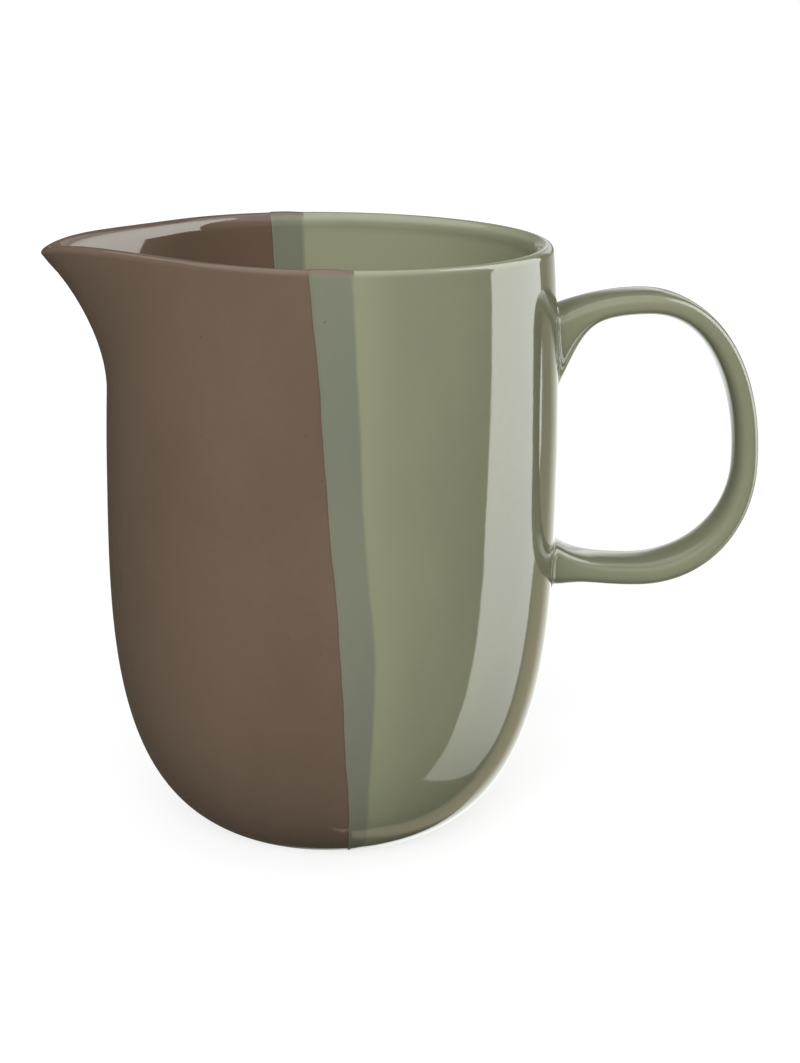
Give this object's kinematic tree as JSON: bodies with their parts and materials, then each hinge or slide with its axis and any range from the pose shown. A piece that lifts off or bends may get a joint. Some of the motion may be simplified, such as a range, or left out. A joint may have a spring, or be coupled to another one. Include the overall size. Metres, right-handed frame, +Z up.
{
  "type": "glazed stoneware pitcher",
  "caption": "Round-bottomed stoneware pitcher with a pulled spout, a loop handle and two dipped glazes that overlap in a band, for holding and pouring drinks.",
  "frame": {"origin": "middle of the standing ring, on the table", "axes": "+Z up along the body's axis, +X towards the handle, -X towards the spout"},
  "size_m": [0.1817, 0.1138, 0.1502],
  "materials": {
    "bare_clay": "fired stoneware, matt and slightly rough, seen only at the foot",
    "handle_clay": "fired stoneware under the glaze",
    "slip": "fired slip, the joint between handle and wall",
    "brown_glaze": "glossy brown glaze with fine specks",
    "green_glaze": "glossy grey-green glaze with fine specks",
    "overlap_glaze": "glossy grey glaze where both coats have fused",
    "handle_glaze": "glossy grey-green glaze"
  },
  "bodies": {
    "root": {"body": "bare_clay", "handle": "handle_clay", "upper_handle_joint": "slip", "lower_handle_joint": "slip", "brown_glaze": "brown_glaze", "green_glaze": "green_glaze", "glaze_overlap": "overlap_glaze", "handle_glaze": "handle_glaze"}
  },
  "joints": []
}
